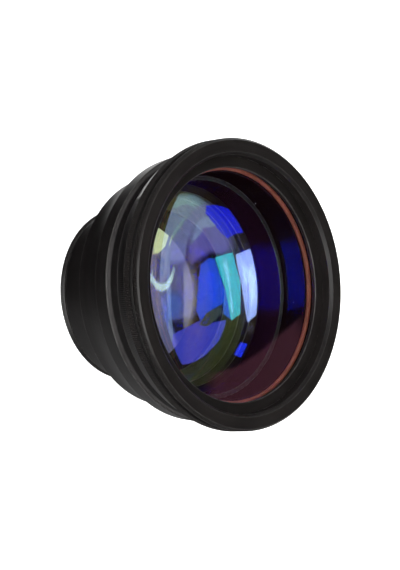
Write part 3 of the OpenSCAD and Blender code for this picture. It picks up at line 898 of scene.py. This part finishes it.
card("card_oval", [(481, 1925, 2198), (529, 1867, 2237), (535, 1791, 2298), (512, 1722, 2357), (463, 1666, 2408), (385, 1617, 2455), (286, 1581, 2492), (161, 1559, 2517), (16, 1552, 2527), (-124, 1560, 2519), (-252, 1586, 2493), (-374, 1627, 2450), (-486, 1679, 2394), (-591, 1742, 2323), (-686, 1814, 2239), (-760, 1886, 2152), (-823, 1964, 2055), (-865, 2041, 1958), (-847, 2088, 1915), (-733, 2086, 1965), (-558, 2056, 2054), (-384, 2026, 2123), (-232, 2006, 2165), (-82, 1986, 2195), (65, 1967, 2212), (221, 1957, 2211), (372, 1950, 2197)], (1.0, 0.54, 0.42), 1.85, soft=0.4)
card("card_blue_mid", [(449, 1457, 2544), (555, 1228, 2644), (541, 1050, 2723), (-55, 833, 2851), (-322, 882, 2817), (-504, 1243, 2647), (-641, 1595, 2415), (-430, 1684, 2401), (-48, 1591, 2502)], (0.05, 0.14, 1.0), 2.8, soft=0.08)
card("card_blue_side", [(-52, 873, 2833), (-56, 812, 2851), (-671, 743, 2790), (-528, 939, 2761), (-299, 920, 2803)], (0.03, 0.22, 1.0), 2.3)
card("card_teal", [(540, 1034, 2697), (634, 548, 2818), (37, 381, 2917), (-563, 463, 2849), (-674, 739, 2764), (-84, 809, 2826)], (0.14, 1.0, 0.88), 2.7)
card("card_teal_light", [(564, 852, 2735), (592, 713, 2769), (-96, 589, 2859), (-639, 640, 2776), (-661, 705, 2755), (-90, 686, 2838)], (0.58, 1.0, 1.0), 3.6, soft=0.3)
card("card_notch", [(-666, 1638, 2341), (-467, 1390, 2544), (-348, 988, 2746), (-505, 929, 2743), (-665, 1257, 2569), (-805, 1527, 2373)], (0.4, 0.3, 0.2), 0.9, soft=0.1)
card("card_violet", [(-859, 2598, 1090), (-753, 2257, 1752), (-612, 1631, 2398), (-672, 1270, 2596), (-657, 883, 2757), (-850, 995, 2664), (-1041, 1170, 2518), (-1258, 1600, 2149), (-1321, 1832, 1909), (-1337, 2038, 1668), (-1331, 2263, 1342), (-1270, 2382, 1181), (-1076, 2525, 1067)], (0.2, 0.13, 1.0), 2.0)
card("card_white", [(576, 469, 2845), (699, -4, 2856), (246, -150, 2928), (-588, -71, 2881), (-753, 297, 2827), (-23, 360, 2919)], (0.86, 0.66, 1.0), 4.2)
card("card_white_core", [(502, 402, 2849), (587, 18, 2862), (166, -141, 2914), (-464, -60, 2884), (-637, 220, 2842), (-84, 323, 2903)], (0.92, 0.72, 1.0), 6.8, soft=0.5)
card("card_blue", [(1512, 1222, 2194), (1527, 977, 2305), (1486, 703, 2431), (1376, 344, 2571), (1202, 125, 2678), (1025, 19, 2755), (1008, 245, 2750), (981, 456, 2733), (897, 669, 2717), (1032, 869, 2609), (1210, 1067, 2452), (1364, 1253, 2274)], (0.02, 0.025, 1.0), 2.7)
card("card_small", [(-1106, 559, 2664), (-1165, 379, 2671), (-1399, 607, 2509), (-1319, 786, 2502)], (0.03, 0.05, 1.0), 3.4)
card("card_dim", [(65, 2220, 2043), (101, 2224, 2038), (143, 2217, 2043), (188, 2197, 2062), (227, 2166, 2091), (249, 2131, 2125), (254, 2097, 2158), (227, 2064, 2194), (170, 2077, 2186), (159, 2116, 2149), (132, 2154, 2112), (96, 2189, 2077)], (1, 0.9, 0.9), 0.16, soft=0.25, mirror=True)
card("card_rear", [(-900, 2300, -900), (-900, 2900, -1900), (-900, 2500, -2500), (0, 2300, -2700), (900, 2500, -2500), (900, 2900, -1900), (900, 2300, -900), (0, 2200, -800)], (0.12, 0.12, 1.0), 1.35, soft=0.2)
card("card_rear_pale", [(-14.1, 24.8, -2.0), (-18.3, 25.8, -2.0), (-22.6, 27.3, -2.0), (-26.7, 29.4, -2.0), (-30.6, 32.5, -2.0), (-30.9, 34.0, -2.0), (-23.4, 31.1, -2.0), (-17.7, 28.4, -2.0), (-14.4, 25.6, -2.0)], (0.35, 0.41, 1.0), 2.35, soft=0.12)
card("card_rear_dark", [(-13.5, 26.1, -2.6), (-14.4, 27.1, -2.6), (-12.1, 28.1, -2.6), (-5.7, 26.6, -2.6), (-4.6, 24.8, -2.6), (-7.3, 25.2, -2.6)], (0.02, 0.04, 1.0), 0.8, soft=0.12)
card("card_rear_blue", [(3.2, 25.0, -2.8), (0.1, 25.0, -2.8), (-1.5, 28.1, -2.8), (0.1, 32.9, -2.8), (6.2, 35.4, -2.8), (12.3, 33.2, -2.8), (15.0, 28.6, -2.8), (12.7, 25.9, -2.8), (8.1, 25.3, -2.8)], (0.04, 0.07, 1.0), 2.3, soft=0.55)
card("card_rear_low", [(11.3, 26.6, -2.4), (11.6, 26.7, -2.4), (11.1, 36.8, -2.4), (33.3, 55.8, -2.4), (26.4, 29.6, -2.4), (23.0, 30.6, -2.4)], (0.1, 0.1, 1.0), 0.15, soft=0.25)
band_card("card_rear_smile", [(-6.6, 23.8, -2.0), (-3.1, 23.4, -2.0), (-0.3, 23.7, -2.0), (1.0, 24.7, -2.0), (0.2, 26.5, -2.0), (-3.1, 28.7, -2.0), (-8.0, 30.5, -2.0)], [(-9.9, 24.2, -2.0), (-7.0, 23.7, -2.0), (-4.4, 24.0, -2.0), (-3.3, 25.0, -2.0), (-4.2, 26.6, -2.0), (-6.8, 28.3, -2.0), (-10.5, 30.0, -2.0)], (0.17, 0.235, 1.0), 4.3)


def area(name, at, to, sx, sy, power, colour=(1, 1, 1), glossy=True, diffuse=True):
    d = bpy.data.lights.new(name, "AREA")
    d.shape = "RECTANGLE"
    d.size, d.size_y = sx, sy
    d.energy = power
    d.color = colour
    ob = bpy.data.objects.new(name, d)
    ob.location = Vector(at)
    ob.rotation_euler = (Vector(to) - Vector(at)).to_track_quat("-Z", "Y").to_euler()
    scene.collection.objects.link(ob)
    ob.visible_camera = False
    ob.visible_glossy = glossy
    ob.visible_transmission = glossy
    ob.visible_diffuse = diffuse
    return ob


area("soft_camera_side", (0.09, -0.98, 0.98), (0, 0, 0.05), 1.25, 0.55, 7.0)
area("soft_top", (0.0, 0.1, 1.7), (0, 0, 0.05), 1.0, 1.0, 5.0, glossy=False)

world = bpy.data.worlds.new("studio")
scene.world = world
world.use_nodes = True
n = Nodes(world.node_tree)
d = n.new("ShaderNodeTexCoord").outputs["Generated"]
sep = n.new("ShaderNodeSeparateXYZ", {0: d})
x, y, z = sep.outputs
low = n.ramp(z, 0.05, -0.25)
behind = n.ramp(y, 0.20, 0.70)
upper_side = n.ramp(n.math("MULTIPLY", x, -1.0), -0.10, 0.30)
lower_side = n.ramp(x, -0.05, 0.35)
sheet = n.math("ADD", n.math("MULTIPLY", n.math("MULTIPLY", upper_side, behind), 2.1), n.math("MULTIPLY", lower_side, 0.38))
base = n.math("ADD", n.math("MULTIPLY", low, sheet), 0.022)
bg = n.new("ShaderNodeBackground", {"Color": rgb(1, 1, 1), "Strength": base})
n.new("ShaderNodeOutputWorld", {"Surface": bg})
world.cycles_visibility.transmission = False
